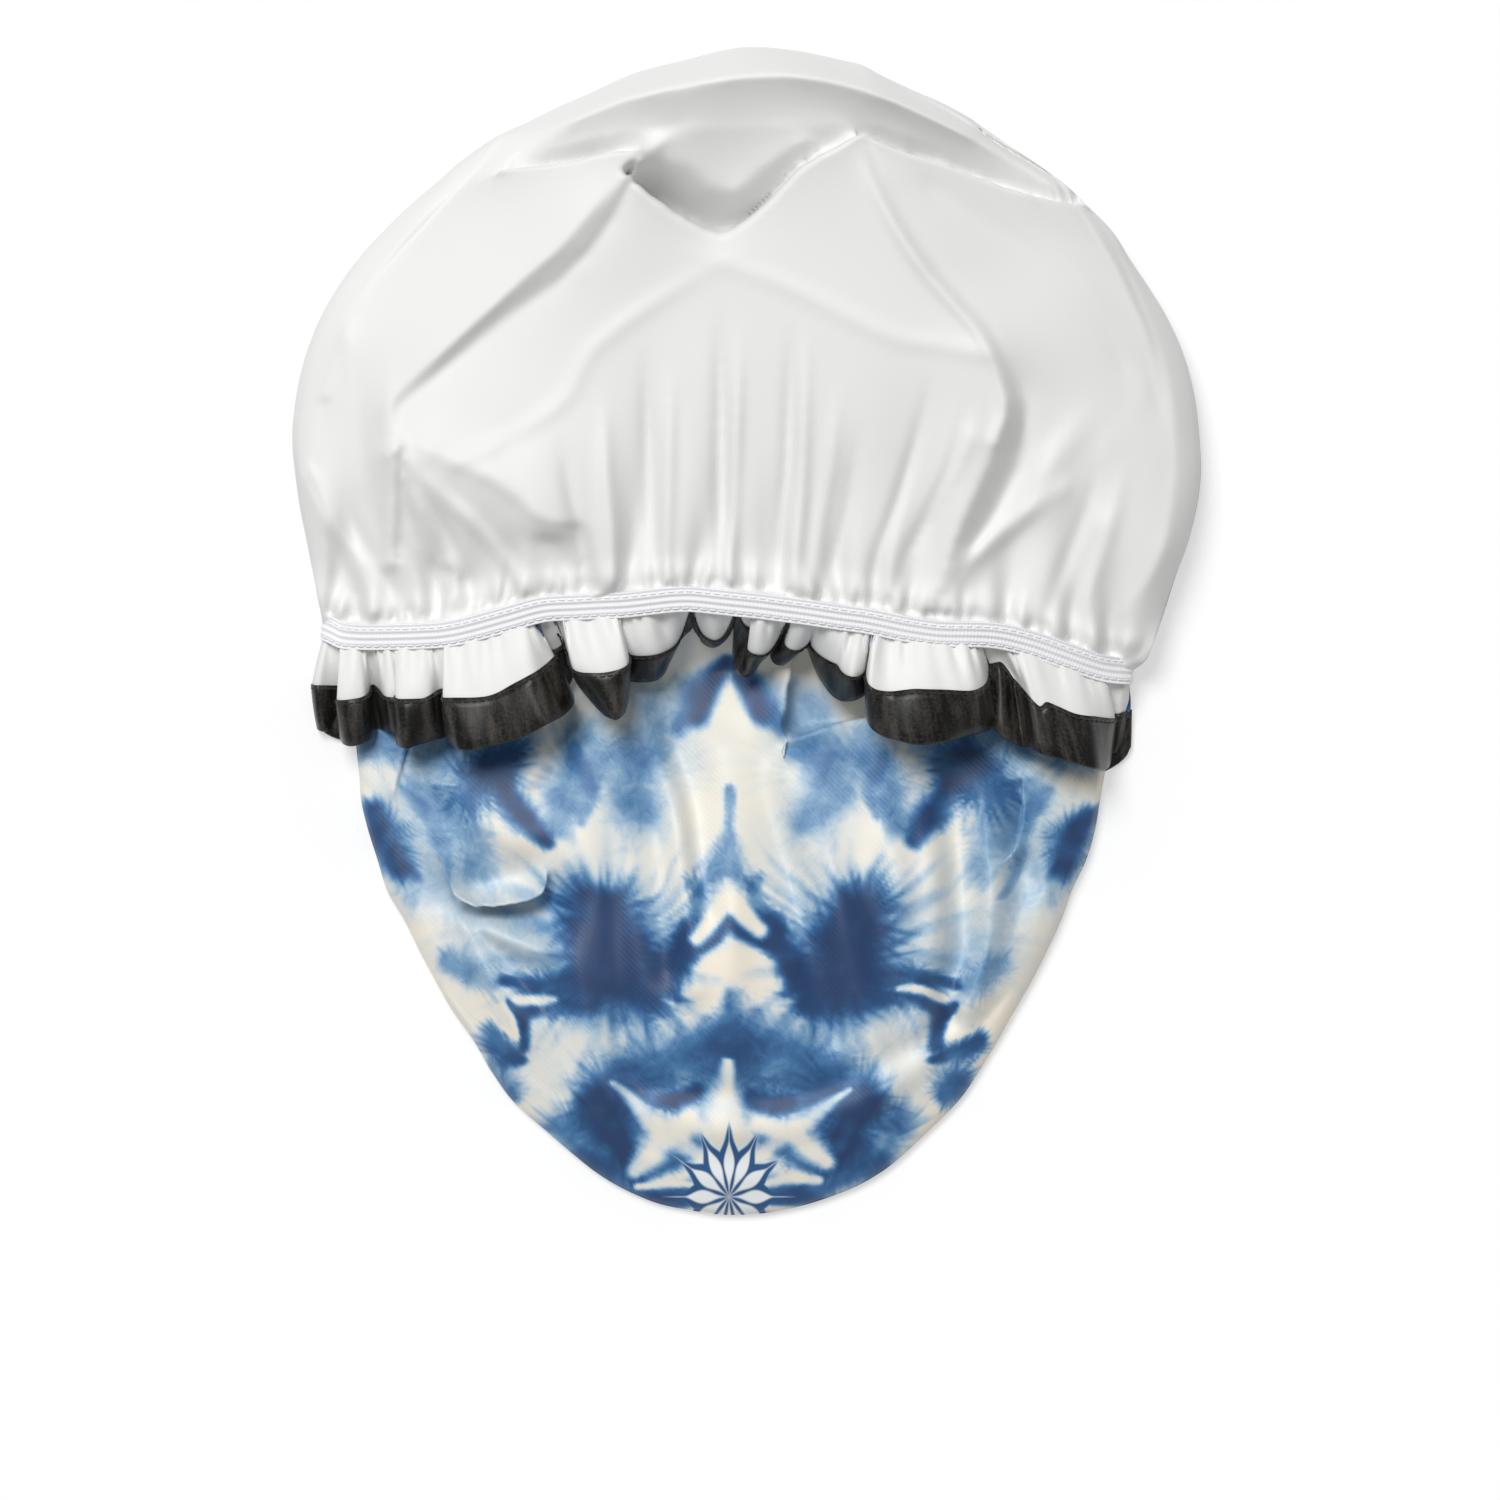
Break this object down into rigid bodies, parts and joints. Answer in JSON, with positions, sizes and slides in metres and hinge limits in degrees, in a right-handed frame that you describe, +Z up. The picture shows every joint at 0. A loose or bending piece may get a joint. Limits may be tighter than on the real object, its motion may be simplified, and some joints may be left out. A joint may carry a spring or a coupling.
{
  "type": "shower cap",
  "caption": "Double layer shower cap laid flat, its waterproof liner pulled out of a tie-dyed satin bag, with an elastic mouth and a black bound frill.",
  "frame": {"origin": "under the middle of the cap's bounding box, on the table that it lies on", "axes": "+X across the cap, to the right as the picture shows it, +Y from the satin bag towards the liner, +Z up from the table"},
  "size_m": [0.3, 0.3862, 0.0662],
  "materials": {
    "peva_film": "soft semi-gloss film",
    "tie_dyed_satin": "satin weave, indigo tie-dye on cream",
    "white_elastic": "ribbed braid",
    "black_satin_ribbon": "satin ribbon",
    "white_thread": "spun thread",
    "black_thread": "spun thread"
  },
  "bodies": {
    "root": {"peva_liner": "peva_film", "satin_outer": "tie_dyed_satin", "elastic_band": "white_elastic", "edge_binding": "black_satin_ribbon", "elastic_stitch_upper": "white_thread", "elastic_stitch_lower": "white_thread", "binding_stitch_front": "black_thread", "binding_stitch_back": "black_thread"}
  },
  "joints": []
}
